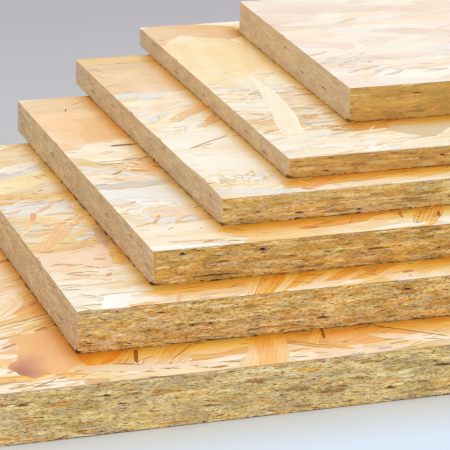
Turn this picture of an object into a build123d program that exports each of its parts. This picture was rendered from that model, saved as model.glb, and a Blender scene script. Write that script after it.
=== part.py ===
from build123d import *
import math
import os
import random
from dataclasses import dataclass

# A stair-stepped stack of six sawn boards of oriented strand board.
# Lengths are in millimetres and angles in degrees. X runs along the front edges to the right,
# Y to the back and Z up. The origin is at the middle of the whole stack's underside.

# The sawn boards
BOARD_WIDTH = 300.0
BOARD_DEPTH = 222.0
TOP_BOARD_WIDTH = 300.0
TOP_BOARD_DEPTH = 158.0
THICKNESS_1 = 22.0
THICKNESS_2 = 18.0
THICKNESS_3 = 15.0
THICKNESS_4 = 12.0
THICKNESS_5 = 9.0
THICKNESS_6 = 16.0
CORNER_RADIUS = 0.9
LOWER_ARRIS = 0.45

# How far each board's front left corner stands from that of the board below
STEP_RIGHT_2 = 45.0
STEP_RIGHT_3 = 37.7
STEP_RIGHT_4 = 37.2
STEP_RIGHT_5 = 36.1
STEP_RIGHT_6 = 44.0
STEP_BACK_2 = 31.7
STEP_BACK_3 = 20.3
STEP_BACK_4 = 22.5
STEP_BACK_5 = 18.5
STEP_BACK_6 = 43.2

# Gaps between strands that the saw laid open, spaced along the edges
VOID_SPACING = 35.0
VOID_LENGTH = 6.5
VOID_HEIGHT = 1.0
VOID_DEPTH = 3.0
VOID_EDGE_COVER = 1.6

# Splinters broken out of the sharp edges. The lower edges, where the saw came out, lost the most.
LOWER_CHIP_SPACING = 29.0
LOWER_CHIP_LENGTH = 15.0
LOWER_CHIP_REACH = 1.6
LOWER_CHIP_HEIGHT = 0.85
UPPER_CHIP_SPACING = 90.0
UPPER_CHIP_LENGTH = 7.0
UPPER_CHIP_REACH = 0.7
UPPER_CHIP_HEIGHT = 0.5

# The knocked lower corners
CORNER_CHIP_LENGTH = 9.5
CORNER_CHIP_REACH = 2.0
CORNER_CHIP_HEIGHT = 2.3

# Slits between the strands of the pressed faces
SLIT_SPACING_ALONG = 92.0
SLIT_SPACING_ACROSS = 80.0
SLIT_LENGTH = 17.0
SLIT_WIDTH = 1.3
SLIT_DEPTH = 0.6
SLIT_EDGE_COVER = 5.0
STRAND_SPREAD = 24.0

# A pocket's floor as a share of its mouth, and how far cutters start outside the board
FLOOR_SHARE = 0.35
CUTTER_LEAD = 0.5


@dataclass
class Board:
    """One board, placed by its front left corner, with the flaws that are seen from the front."""

    name: str
    width: float
    depth: float
    thickness: float
    step_right: float
    step_back: float
    turn: float
    front_voids: tuple = ()
    upper_chips: tuple = ()
    top_slits: tuple = ()


@dataclass
class EdgeFace:
    """A sawn edge face: where it starts, the way along it, the way into the board, and its length."""

    start: Vector
    along: Vector
    into: Vector
    length: float

    def at(self, along, into, up):
        return self.start + self.along * along + self.into * into + Vector(0, 0, up)


FRONT = 0
RIGHT = 1
BACK = 2
LEFT = 3

# Front voids are (distance from the left end, height above the underside, length, height).
# Upper chips are (edge face, distance along it, length, reach, height).
# Top slits are (distance from the left end, distance from the front, angle, length, width, depth).
BOARDS = [
    Board(
        "panel_1_bottom", BOARD_WIDTH, BOARD_DEPTH, THICKNESS_1, 0.0, 0.0, 0.1,
        ((14.0, 16.5, 7.0, 1.1), (48.2, 16.7, 4.5, 1.4), (54.4, 12.6, 5.0, 1.0), (91.0, 7.5, 8.0, 0.8),
         (168.7, 6.2, 6.0, 1.3), (191.8, 13.8, 9.0, 1.4)),
    ),
    Board(
        "panel_2", BOARD_WIDTH, BOARD_DEPTH, THICKNESS_2, STEP_RIGHT_2, STEP_BACK_2, -0.2,
        ((34.9, 14.5, 5.0, 0.9), (48.6, 7.5, 3.5, 1.3), (56.3, 7.5, 3.0, 1.2), (74.5, 3.0, 7.0, 0.9),
         (105.1, 5.1, 8.0, 1.3)),
        ((FRONT, 5.5, 13.0, 1.3, 0.8), (LEFT, 158.0, 5.0, 1.3, 0.9)),
    ),
    Board(
        "panel_3", BOARD_WIDTH, BOARD_DEPTH, THICKNESS_3, STEP_RIGHT_3, STEP_BACK_3, 0.1,
        ((12.8, 12.9, 3.5, 1.5), (30.7, 8.0, 6.0, 0.9), (27.3, 2.4, 24.0, 0.9), (47.7, 11.6, 4.0, 1.7),
         (76.6, 8.0, 5.0, 0.8), (99.2, 7.2, 12.0, 0.9)),
        (),
        ((29.0, 141.0, 2.0, 14.0, 2.8, 1.8),),
    ),
    Board(
        "panel_4", BOARD_WIDTH, BOARD_DEPTH, THICKNESS_4, STEP_RIGHT_4, STEP_BACK_4, 0.6,
        (),
        ((LEFT, 198.0, 46.0, 1.3, 0.8),),
    ),
    Board("panel_5", BOARD_WIDTH, BOARD_DEPTH, THICKNESS_5, STEP_RIGHT_5, STEP_BACK_5, 0.0),
    Board("panel_6_top", TOP_BOARD_WIDTH, TOP_BOARD_DEPTH, THICKNESS_6, STEP_RIGHT_6, STEP_BACK_6, -0.7),
]


def scattered(chance, length, spacing, cover):
    """Uneven places along a length, one to each stretch of about the spacing, clear of both ends."""
    count = int((length - 2 * cover) / spacing)
    stretch = (length - 2 * cover) / max(count, 1)
    return [cover + (number + chance.uniform(0.15, 0.85)) * stretch for number in range(count)]


def pocket(middle, long_way, wide_way, inward, length, width, depth):
    """The cutter of a gap between strands: a slim leaf shape that narrows towards its floor."""
    leaf = (
        (-0.50, 0.05),
        (-0.08, 0.50),
        (0.50, -0.05),
        (0.22, -0.50),
        (-0.24, -0.35),
    )

    def outline(share, reach):
        points = [
            middle + long_way * (x * length * share) + wide_way * (y * width * share) + inward * reach
            for x, y in leaf
        ]
        return Face(Wire.make_polygon(points))

    slope = (1 - FLOOR_SHARE) / depth
    mouth = outline(1 + slope * CUTTER_LEAD, -CUTTER_LEAD)
    floor = outline(FLOOR_SHARE, depth)
    return Solid.make_loft([mouth.outer_wire(), floor.outer_wire()], ruled=True)


def edge_voids(board, edge, chance, named):
    """Cutters of the gaps that the saw opened on one edge face."""
    cutters = []
    cover = VOID_EDGE_COVER
    for along, up, length, height in named:
        if cover + length / 2 < along < edge.length - cover - length / 2 and up < board.thickness - height:
            cutters.append((along, up, length, height))
    taken = max((along for along, _, _, _ in named), default=0.0)
    for along in scattered(chance, edge.length, VOID_SPACING, VOID_LENGTH):
        up = chance.uniform(VOID_EDGE_COVER, board.thickness - VOID_EDGE_COVER)
        length = VOID_LENGTH * chance.uniform(0.5, 1.4)
        height = VOID_HEIGHT * chance.uniform(0.6, 1.3)
        if along > taken + VOID_LENGTH:
            cutters.append((along, up, length, height))
    upward = Vector(0, 0, 1)
    return [
        pocket(edge.at(along, 0, up), edge.along, upward, edge.into, length, height, VOID_DEPTH)
        for along, up, length, height in cutters
    ]


def chip(edge, along, up, upward, length, reach, height):
    """The cutter of a splinter lost from a sharp edge: deepest near its middle, gone at both ends."""
    shares = ((0.0, 0.04), (0.42, 1.0), (1.0, 0.04))
    wires = []
    for place, share in shares:
        run = along + (place - 0.5) * length
        lead = CUTTER_LEAD
        corners = (
            (-lead, -lead),
            (reach * share + lead * reach / height, -lead),
            (-lead, height * share + lead * height / reach),
        )
        points = [edge.at(run, into, up + upward * rise) for into, rise in corners]
        wires.append(Wire.make_polygon(points))
    return Solid.make_loft(wires, ruled=True)


def edge_chips(board, number, edge, chance):
    """Cutters of the splinters lost along the lower and upper sharp edges of one edge face."""
    top = board.thickness
    lower = (0.0, 1, LOWER_CHIP_SPACING, LOWER_CHIP_LENGTH, LOWER_CHIP_REACH, LOWER_CHIP_HEIGHT)
    upper = (top, -1, UPPER_CHIP_SPACING, UPPER_CHIP_LENGTH, UPPER_CHIP_REACH, UPPER_CHIP_HEIGHT)
    cutters = []
    for up, upward, spacing, length, reach, height in (lower, upper):
        for along in scattered(chance, edge.length, spacing, length):
            own_length = length * chance.uniform(0.4, 1.4)
            own_reach = reach * chance.uniform(0.6, 1.2)
            own_height = height * chance.uniform(0.6, 1.2)
            cutters.append(chip(edge, along, up, upward, own_length, own_reach, own_height))
    for on_edge, along, length, reach, height in board.upper_chips:
        if on_edge == number and along < edge.length:
            cutters.append(chip(edge, along, top, -1, length, reach, height))
    return cutters


def corner_chips(number, edge, chance):
    """Cutters at both ends of an edge face that knock its lower corners off, the front left one most."""
    cutters = []
    for along, front_left in ((0.0, number == FRONT), (edge.length, number == LEFT)):
        share = 1.0 if front_left else chance.uniform(0.4, 0.8)
        length = CORNER_CHIP_LENGTH * share
        reach = CORNER_CHIP_REACH * share
        height = CORNER_CHIP_HEIGHT * share
        cutters.append(chip(edge, along, 0.0, 1, length, reach, height))
    return cutters


def face_slits(board, chance):
    """Cutters of the slits between strands in the top and bottom faces, lying mostly along X."""
    slits = [(board.thickness, -1, *slit) for slit in board.top_slits]
    for up, inward in ((board.thickness, -1), (0.0, 1)):
        for across in scattered(chance, board.depth, SLIT_SPACING_ACROSS, SLIT_EDGE_COVER):
            for along in scattered(chance, board.width, SLIT_SPACING_ALONG, SLIT_LENGTH):
                angle = chance.uniform(-STRAND_SPREAD, STRAND_SPREAD)
                length = SLIT_LENGTH * chance.uniform(0.5, 1.3)
                width = SLIT_WIDTH * chance.uniform(0.6, 1.3)
                if far_from(along, across, board.top_slits):
                    slits.append((up, inward, along, across, angle, length, width, SLIT_DEPTH))
    cutters = []
    for up, inward, along, across, angle, length, width, depth in slits:
        turn = math.radians(angle)
        long_way = Vector(math.cos(turn), math.sin(turn), 0)
        wide_way = Vector(-math.sin(turn), math.cos(turn), 0)
        middle = Vector(along, across, up)
        into = Vector(0, 0, inward)
        cutters.append(pocket(middle, long_way, wide_way, into, length, width, depth))
    return cutters


def far_from(along, across, slits):
    """Whether a place is more than a slit's length from every named slit."""
    return all(math.dist((along, across), slit[:2]) > 1.5 * SLIT_LENGTH for slit in slits)


def edge_faces(board):
    """The front, right, back and left edge faces, each walked anticlockwise seen from above."""
    width = board.width
    depth = board.depth
    return [
        EdgeFace(Vector(0, 0, 0), Vector(1, 0, 0), Vector(0, 1, 0), width),
        EdgeFace(Vector(width, 0, 0), Vector(0, 1, 0), Vector(-1, 0, 0), depth),
        EdgeFace(Vector(width, depth, 0), Vector(-1, 0, 0), Vector(0, -1, 0), width),
        EdgeFace(Vector(0, depth, 0), Vector(0, -1, 0), Vector(1, 0, 0), depth),
    ]


def sawn_board(board, seed):
    """A board with its front left lower corner at the origin."""
    chance = random.Random(seed)
    corner = (Align.MIN, Align.MIN, Align.MIN)
    blank = Box(board.width, board.depth, board.thickness, align=corner)
    blank = fillet(blank.edges().filter_by(Axis.Z), CORNER_RADIUS)
    blank = chamfer(blank.faces().sort_by(Axis.Z)[0].edges(), LOWER_ARRIS)
    cutters = face_slits(board, chance)
    for number, edge in enumerate(edge_faces(board)):
        named = board.front_voids if number == 0 else ()
        cutters += edge_voids(board, edge, chance, named)
        cutters += edge_chips(board, number, edge, chance)
        cutters += corner_chips(number, edge, chance)
    return blank - cutters


def stack():
    """Every board in its place, as (name, solid), before the origin is set."""
    right = 0.0
    back = 0.0
    height = 0.0
    placed = []
    for seed, board in enumerate(BOARDS, start=1):
        right += board.step_right
        back += board.step_back
        place = Pos(right, back, height) * Rot(0, 0, board.turn)
        placed.append((board.name, place * sawn_board(board, seed)))
        height += board.thickness
    return placed


def main():
    os.makedirs("parts", exist_ok=True)
    placed = stack()
    boxes = [solid.bounding_box() for _, solid in placed]
    middle_x = (min(box.min.X for box in boxes) + max(box.max.X for box in boxes)) / 2
    middle_y = (min(box.min.Y for box in boxes) + max(box.max.Y for box in boxes)) / 2
    origin = Pos(-middle_x, -middle_y, 0)
    for name, solid in placed:
        export_step(origin * solid, f"parts/{name}.step")


main()
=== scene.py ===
import math
import random

import bpy
from mathutils import Matrix, Vector
from mathutils.geometry import delaunay_2d_cdt


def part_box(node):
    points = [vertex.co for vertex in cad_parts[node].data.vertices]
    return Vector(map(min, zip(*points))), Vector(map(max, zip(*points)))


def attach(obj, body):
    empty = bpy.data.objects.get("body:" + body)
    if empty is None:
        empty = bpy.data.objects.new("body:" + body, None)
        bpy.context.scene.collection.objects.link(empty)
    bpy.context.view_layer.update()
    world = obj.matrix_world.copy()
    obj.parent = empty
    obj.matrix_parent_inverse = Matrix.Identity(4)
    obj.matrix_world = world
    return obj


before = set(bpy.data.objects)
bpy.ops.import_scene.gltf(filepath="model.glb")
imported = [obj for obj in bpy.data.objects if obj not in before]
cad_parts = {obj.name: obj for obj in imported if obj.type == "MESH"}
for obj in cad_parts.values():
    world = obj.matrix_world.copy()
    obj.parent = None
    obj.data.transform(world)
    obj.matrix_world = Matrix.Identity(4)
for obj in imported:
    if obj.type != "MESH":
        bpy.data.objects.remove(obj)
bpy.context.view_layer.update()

# Lengths inside the boards' own faces are in millimetres, and everything in the scene is in metres.
MM = 0.001

BOARDS = ["panel_1_bottom", "panel_2", "panel_3", "panel_4", "panel_5", "panel_6_top"]

# The photograph's camera, measured from the front left lower corner of the second board
IMAGE_WIDTH_PX = 450
FOCAL_LENGTH_PX = 2638.5
SENSOR_WIDTH_MM = 36.0
CAMERA_LEFT = 0.26488
CAMERA_FORWARD = 0.94835
CAMERA_ABOVE = 0.40006
CAMERA_BEARING = math.radians(18.946)
CAMERA_PITCH = math.radians(19.299)
CAMERA_ROLL = math.radians(-1.231)

# Strand faces stand this much proud of the sawn and pressed faces of the solids
STRAND_LIFT_MM = 0.28
EDGE_LIFT_MM = 0.20
END_LIFT_MM = 0.13
UNDERSIDE_LIFT_MM = 0.06
RIM_SINK_MM = 0.04
LEAST_RIM_MM = 0.035
COVER_MARGIN_MM = 1.5
JOIN_DISTANCE_MM = 0.0005

# The rounded upright corners and the worn lower edges of the solids, and the depth at which the painted shade
# on the wood inside a gap is darkest
CORNER_RADIUS_MM = 0.9
LOWER_ARRIS_MM = 0.45
CORE_SHADE_DEPTH_MM = 2.6

# Painted shade with warm reflected light near the board that lies on a face: amber in front of that board, as
# far as this, and brown beside it, with so much of that left after each mm
PAINTED_AMBER_SHADE_REACH_MM = 20.0
CORNER_FADE_MM = 8.0
PAINTED_BROWN_SHADE_KEPT = 0.83
FAR_AWAY_MM = 1000.0

# What counts as one flat face of a solid, and as its front: cosines, and the distance between levels
SAME_WAY = 0.99999
SAME_LEVEL_MM = 0.002
FRONTWARD = -0.9
UPRIGHT = 0.01

# The triangulation answers with what lies inside the outlines only
ONLY_INSIDE = 1

# Every board has its own seeds: these, and its number in the stack
SEED = 100
CRACK_SEED = 200
CLUSTER_SEED = 300

# No two strands show the same bit of grain: each is shifted by as much as this. The grain's coordinates
# grow by so many a metre.
GRAIN_SHIFT_MM = 900
GRAIN_PER_M = 100

# A strand's colours vary, but no channel goes past this, and blue moves further than red the other way
BRIGHTEST = 252
BLUE_SWING = 1.5

# How strongly strands may tilt for their level, and bend for their length
STEEPEST = 0.012
FACE_BOW = 0.04
SEEN_BOW = 0.03
CRACK_BOW = 0.10
BIT_BOW = 0.08


def linear(red, green, blue):
    """A colour as it should render, 0 to 255 a channel, as linear light."""
    channels = []
    for value in (red, green, blue):
        share = value / 255
        channels.append(share / 12.92 if share <= 0.04045 else ((share + 0.055) / 1.055) ** 2.4)
    return tuple(channels)


# Wood colours of the pressed faces
SNOW = (252, 250, 246)
MILK = (251, 241, 229)
PINK = (248, 230, 214)
PEARL = (252, 245, 230)
CREAM = (252, 238, 212)
STRAW = (251, 226, 176)
HONEY = (248, 212, 146)
AMBER = (244, 190, 92)
ORANGE = (242, 172, 66)
PEACH = (246, 202, 150)
BLUSH = (250, 224, 198)
TAN = (230, 194, 146)
MIST = (232, 229, 226)
SKY = (224, 227, 232)
LILAC = (216, 192, 178)
CLAY = (222, 158, 116)
RUST = (218, 146, 100)
STICK = (156, 106, 44)
CRACK = (124, 76, 40)
CORAL = (242, 190, 134)
ASH = (216, 208, 192)
UMBER = (198, 158, 104)
BUFF = (247, 218, 176)

# The colours of each board's scattered strands, and how often each comes up
FACE_TONES = {
    "panel_1_bottom": ((CREAM, 2), (STRAW, 8), (HONEY, 7), (AMBER, 1), (PEACH, 3), (BLUSH, 2), (TAN, 2)),
    "panel_2": ((PEARL, 5), (CREAM, 8), (STRAW, 5), (HONEY, 1), (BLUSH, 3)),
    "panel_3": ((PEARL, 6), (CREAM, 8), (STRAW, 3), (BLUSH, 3), (MIST, 1)),
    "panel_4": ((PEARL, 9), (CREAM, 7), (STRAW, 2), (BLUSH, 2), (MIST, 1)),
    "panel_5": ((PEARL, 9), (CREAM, 7), (STRAW, 2), (BLUSH, 2)),
    "panel_6_top": ((MILK, 7), (PINK, 9), (PEARL, 2)),
}

# How strongly each board's grain is drawn: on its scattered strands, at least and at most, and on its sawn
# sides; and how many thin dark cracks its top shows
FIGURES = {
    "panel_1_bottom": ((0.2, 0.8), 1.0, 110),
    "panel_2": ((0.2, 0.8), 1.0, 90),
    "panel_3": ((0.1, 0.6), 0.9, 80),
    "panel_4": ((0.0, 0.5), 0.65, 50),
    "panel_5": ((0.0, 0.4), 0.45, 20),
    "panel_6_top": ((0.0, 0.2), 0.3, 0),
}

# Strands that the photograph shows: distance from the left end and from the front, length, width, angle,
# colour, and how strongly the grain is drawn
SEEN_STRANDS = {
    "panel_1_bottom": (
        (34, 150, 90, 40, 34, STRAW, 0.4), (36, 132, 80, 26, 30, BLUSH, 0.4),
        (40, 118, 60, 14, 27, CREAM, 0.6), (30, 76, 70, 22, 22, PEACH, 0.6),
        (24, 62, 50, 15, 26, STRAW, 0.7), (12, 46, 24, 12, 20, BLUSH, 0.5),
        (40, 108, 44, 5, 24, PINK, 0.3), (46, 100, 30, 7, 40, STRAW, 0.8),
        (36, 78, 46, 4, 24, STRAW, 0.7), (42, 72, 40, 4, 21, HONEY, 0.9), (30, 68, 44, 4, 22, CREAM, 0.6),
        (38, 64, 40, 5, 25, HONEY, 0.8), (44, 84, 30, 3, 34, HONEY, 0.9),
        (38, 75, 34, 0.8, 22, UMBER, 0.0), (34, 70, 30, 0.7, 21, UMBER, 0.0),
        (40, 66, 26, 0.7, 25, UMBER, 0.0), (42, 143.6, 9, 1.6, 32, UMBER, 0.0),
        (44, 92, 9, 1.6, 34, RUST, 0.0), (21, 47, 8, 2.0, 30, UMBER, 0.0), (20, 2, 44, 14, 3, CREAM, 0.4),
        (70, 4, 60, 12, -3, STRAW, 0.5), (150, 5, 62, 14, 4, BLUSH, 0.4),
        (186, 12, 52, 14, 6, STRAW, 0.6), (170, 20, 56, 15, 8, PEACH, 0.5),
        (62, 25, 34, 14, 58, HONEY, 0.8), (74, 22, 30, 12, 60, STRAW, 0.8),
        (86, 23, 34, 13, 50, HONEY, 0.9), (102, 24, 28, 12, 12, STRAW, 0.5),
        (100, 10, 22, 5, 8, CREAM, 0.4), (138, 20, 40, 9, -36, HONEY, 0.8),
        (147, 25, 22, 10, 64, HONEY, 0.7), (160, 24, 30, 12, 22, PEACH, 0.6),
        (190, 22, 44, 12, -34, HONEY, 0.5), (180, 13, 28, 6, -22, CREAM, 0.3),
        (131, 5, 13, 9, 4, CREAM, 0.1), (167, 4, 6, 2.6, 4, LILAC, 0.1), (45, 2, 10, 5, 4, TAN, 0.2),
        (67, 23, 13.5, 1.7, 75, STICK, 0.0), (148.4, 26, 12, 1.5, 77, STICK, 0.0),
        (61, 16, 11, 0.9, -17, CRACK, 0.0), (86, 22, 18, 0.8, 47, UMBER, 0.0),
        (135, 20, 26, 0.9, -38, UMBER, 0.0), (139, 14, 16, 0.7, -36, UMBER, 0.0),
        (184, 19, 30, 0.8, -37, CRACK, 0.0), (175, 8, 8, 1.0, 6, UMBER, 0.0),
        (190, 8, 8, 0.9, -20, UMBER, 0.0), (154, 15, 3, 1.4, 30, UMBER, 0.0),
        (88, 9.5, 6, 1.6, -10, RUST, 0.0), (66, 6.5, 8, 1.2, -14, UMBER, 0.0),
        (26, 6, 26, 0.5, -4, CRACK, 0.0),
    ),
    "panel_2": (
        (18, 26, 82, 44, 4, PEARL, 0.5), (18, 60, 60, 24, 8, BLUSH, 0.3), (12, 127, 40, 18, 0, MIST, 0.2),
        (58, 14, 54, 12, 2, STRAW, 0.8), (60, 5, 60, 9, 4, CREAM, 0.8), (152, 13, 60, 13, 20, HONEY, 0.6),
        (140, 14, 52, 8, 25, STRAW, 0.6), (131, 13, 48, 7, 29, HONEY, 0.7),
        (123, 13, 46, 6, 33, STRAW, 0.7), (116, 12, 44, 6, 37, HONEY, 0.7),
        (109, 12, 42, 6, 41, CREAM, 0.7), (103, 12, 40, 6, 45, HONEY, 0.7),
        (97, 12, 38, 6, 49, AMBER, 0.6), (92, 11, 34, 6, 53, STRAW, 0.7), (87, 11, 32, 6, 57, AMBER, 0.6),
        (82, 10, 30, 5, 60, HONEY, 0.7), (77, 10, 26, 5, 64, STRAW, 0.7), (104, 3, 30, 6, 6, CREAM, 0.2),
        (119, 3.6, 11, 2.4, 14, PEARL, 0.0), (142, 5, 15, 7, 10, BLUSH, 0.1),
        (17, 93, 44, 8, 58, (247, 210, 162), 0.4), (22, 97, 36, 3, 54, PEACH, 0.3),
        (13, 88, 24, 2.4, 60, PEACH, 0.3), (28, 86, 13, 5, 40, MIST, 0.1),
        (34, 84, 24, 5, 85, LILAC, 0.1), (34, 60, 20, 6, 80, HONEY, 0.3), (20, 74, 8, 4, 15, TAN, 0.0),
        (28, 1.5, 12, 3, 4, HONEY, 0.6), (30, 7, 17, 3.4, -6, MILK, 0.0),
        (44, 4.5, 10, 1.8, 68, (238, 196, 156), 0.1), (94.5, 20, 5, 2.4, 50, RUST, 0.0),
        (133, 15, 7, 1.8, 66, CLAY, 0.0), (146, 9, 5, 2, 10, UMBER, 0.0),
        (5, 30, 10, 0.7, -5, UMBER, 0.0), (4, 25, 9, 0.7, -8, CRACK, 0.0),
        (9, 17, 7, 0.6, -30, UMBER, 0.0), (18, 43, 6, 0.8, -20, UMBER, 0.0),
        (14, 28, 26, 0.4, 3, UMBER, 0.0), (24, 16, 20, 0.4, -3, UMBER, 0.0),
        (10, 6, 12, 0.6, -4, UMBER, 0.0),
    ),
    "panel_3": (
        (18, 206, 70, 30, 2, (240, 208, 164), 0.2), (22, 140, 50, 30, 4, CREAM, 0.2),
        (25, 18, 76, 24, 2, CREAM, 0.2), (28, 44, 44, 15, -18, BLUSH, 0.5), (17, 85, 34, 8, 2, ASH, 0.2),
        (22, 94, 26, 8, 10, (248, 216, 174), 0.3), (9, 46, 36, 2.4, 104, MIST, 0.0),
        (14, 104, 40, 5, -38, MIST, 0.0), (30, 106, 16, 8, -30, (248, 212, 166), 0.3),
        (30, 141.3, 13, 2.0, 1, (132, 106, 92), 0.0), (20, 36, 20, 6, -8, MIST, 0.0),
        (64, 10, 50, 10, -4, STRAW, 0.4), (96, 17, 56, 9, 10, HONEY, 0.8), (58, 18, 46, 9, 3, HONEY, 0.6),
        (128, 15, 40, 12, 60, HONEY, 0.8), (106, 14, 16, 7, 30, CREAM, 0.3),
        (95, 5, 24, 7, 10, BLUSH, 0.2), (77, 4, 8, 6, 5, SNOW, 0.0), (80, 3, 76, 8, -2, STRAW, 0.5),
        (12, 2.6, 40, 5.0, -7, SNOW, 0.0), (110, 3, 24, 4, 4, PEARL, 0.0),
        (73, 11, 7, 2.4, -5, RUST, 0.1), (26, 103, 8, 1.2, -30, RUST, 0.0),
        (26, 6, 5, 1.2, 10, UMBER, 0.0), (37, 4, 6, 1.0, -14, UMBER, 0.0),
        (132, 13, 6, 1.4, 70, STICK, 0.0), (116, 17, 8, 1.4, 76, UMBER, 0.0),
        (20, 8, 22, 0.5, -6, UMBER, 0.0), (24, 120, 22, 0.5, 8, UMBER, 0.0),
    ),
    "panel_4": (
        (18, 211, 70, 26, 0, (240, 208, 156), 0.2), (14, 205, 34, 9, 0, (228, 204, 172), 0.1),
        (18, 178, 70, 40, 4, (242, 212, 172), 0.2), (18, 62, 60, 62, 4, PEARL, 0.2),
        (26, 122, 30, 7, 40, (247, 214, 168), 0.4), (31, 108, 22, 4, 56, (244, 206, 156), 0.3),
        (9, 118, 16, 5, 50, MIST, 0.0), (17, 153, 14, 9, 10, MIST, 0.0), (4, 155, 12, 8, 4, MIST, 0.0),
        (70, 13, 76, 10, 4, HONEY, 0.6), (48, 12, 24, 8, 40, PEACH, 0.4), (88, 8, 40, 7, 10, STRAW, 0.4),
        (72, 4, 36, 6, 6, CREAM, 0.1), (20, 77, 26, 0.9, 32, UMBER, 0.0),
        (15, 72, 12, 0.7, 20, UMBER, 0.0),
    ),
    "panel_5": (
        (18, 204, 60, 34, 0, (240, 204, 158), 0.2), (16, 152, 84, 50, 84, (251, 228, 182), 0.1),
        # The tan strands 34 to 38 mm from the front run along the top board's front edge: partly strand
        # colour, partly painted shade under that board
        (15, 12, 60, 22, 4, PEARL, 0.2), (62, 38, 56, 12, 6, TAN, 0.6),
        (92, 37, 60, 12, 0, (232, 206, 160), 0.2), (130, 34, 80, 16, 4, TAN, 0.5),
        (44, 4, 16, 6, 8, SNOW, 0.0),
    ),
    "panel_6_top": (
        (50, 26, 24, 3.0, 12, BLUSH, 0.0), (38, 24, 16, 2.0, 8, BLUSH, 0.0),
    ),
}

# Strands with an outline of their own: grain angle, how strongly the grain is drawn, and the colour and
# the points of the strand and of the marks in it
SEEN_PATCHES = {
    "panel_1_bottom": (
        (66, 0.0, (
            (CORAL, (
                (14.5, 25), (16.5, 28.5), (20, 31), (21.5, 36), (24, 41), (25, 46), (23, 50), (21.5, 53),
                (27, 56.5), (36, 59), (48, 62), (48, 34), (45.6, 30.5), (44.2, 25), (43, 21.5), (40, 19.5),
                (37, 16), (33.5, 12.7), (30.5, 13.2), (28.7, 15), (26.5, 15.3), (24.6, 13.4), (22.8, 11.6),
                (21.2, 12.3), (20, 15.2), (17.4, 16.6), (16.8, 20), (15.4, 22.5),
            )),
        )),
        (60, 0.2, (
            (ORANGE, (
                (44.5, 33), (44.6, 25), (46, 18.2), (50, 17.6), (55, 18.5), (59, 22.5), (63, 28), (67, 33),
            )),
            (AMBER, ((53, 33), (49, 26), (47.4, 18.8), (50, 17.6), (52, 20), (57, 26), (61, 33))),
        )),
        (-11, 0.2, (
            ((240, 214, 182), (
                (40, 20), (47, 18), (56, 17.2), (66, 13.8), (80, 11.2), (93, 9.2), (96, 7.4), (80, 7.8),
                (62, 8.8), (50, 11), (41, 14.5),
            )),
        )),
        (68, 0.25, (
            ((249, 210, 150), (
                (103.5, -1), (123.5, -1), (126.5, 7), (129.5, 15), (131, 22), (133, 33), (117, 33), (115, 24),
                (113.4, 18), (108.6, 9),
            )),
            ((247, 198, 128), ((111, -1), (119, -1), (124, 14), (127, 33), (120, 33), (116, 16))),
        )),
    ),
    "panel_2": (
        (68, 0.0, (
            ((254, 250, 245), (
                (8.9, -1), (11.2, 4.5), (13.5, 9), (15.3, 14.6), (20, 15.1), (26.6, 14.2), (25, 10.5),
                (22.8, 5.5), (20.1, -1),
            )),
        )),
    ),
    "panel_3": (
        (6, 0.2, (
            ((250, 212, 168), (
                (-1, 138), (9, 141), (14, 147), (26, 149), (33, 152), (41, 150), (41, 192), (30, 196),
                (18, 199), (8, 196), (-1, 200),
            )),
            ((244, 204, 150), (
                (14, 150), (24, 152), (34, 156), (41, 154), (41, 186), (32, 189), (25, 184), (17, 186),
                (19, 172), (14, 162),
            )),
        )),
        (-20, 0.0, (
            (MIST, (
                (-1, 80), (10, 78.6), (22, 77), (38, 69), (38, 48), (30, 55), (22, 61), (14, 66.5), (6, 67.4),
                (-1, 67),
            )),
            ((236, 237, 236), (
                (1, 78.6), (10, 77), (21, 74.6), (30, 69), (22, 66), (12, 69.6), (3, 70.4),
            )),
        )),
    ),
    "panel_4": (
        (-14, 0.0, (
            ((230, 226, 220), (
                (-1, 12.4), (8, 11.4), (18, 9), (32, 4.4), (34, -1), (24, 0.8), (14, 3.6), (6, 6.6), (-1, 8),
            )),
        )),
    ),
    "panel_5": (
        (80, 0.1, (
            ((254, 245, 226), (
                (9.5, 33), (14, 31), (19, 33), (21.5, 45), (24.5, 57), (27, 80), (28, 97), (27, 112),
                (25, 130), (23.5, 112), (20.5, 95), (17.5, 80), (14.5, 62), (10.5, 45),
            )),
        )),
        (64, 0.0, (
            ((222, 204, 172), (
                (56, 29), (61, 23), (66, 18.6), (71, 14), (78, 18), (84, 24), (94, 33), (62, 34),
            )),
        )),
    ),
}

# The stain at the end of the first patch of the first board: its middle, half length and half width when
# it is smallest and largest, its angle, and the colours at its middle and its rim
STAIN_BOARD = "panel_1_bottom"
STAIN_SPOT_MM = (17, 17)
STAIN_SMALLEST_MM = (4.5, 3.0)
STAIN_LARGEST_MM = (24, 14)
STAIN_ANGLE = 58
STAIN_STEPS = 12
STAIN_CORNERS = 28
STAIN_FALL = 0.7
STAIN_TONES = ((184, 120, 104), CORAL)

# Knots cut by a board's top: middle, half length, half width, angle, rings, wood and ring colours
SEEN_KNOTS = {
    "panel_1_bottom": ((26, 90, 16.5, 10.5, 50, 3, CREAM, (238, 206, 158)),),
    "panel_2": ((132, 16, 4.0, 2.4, 40, 3, HONEY, UMBER), (24, 38, 2.2, 1.0, 40, 2, CORAL, CLAY)),
    "panel_4": ((9, 25, 2.6, 1.7, 30, 2, PEARL, LILAC),),
}
KNOT_LINE_MM = 0.45
KNOT_CORNERS = 20
KNOT_FIGURE = 0.3
KNOT_LEVEL_MM = STRAND_LIFT_MM * 0.96
PATCH_LEVEL_MM = STRAND_LIFT_MM * 0.97

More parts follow.
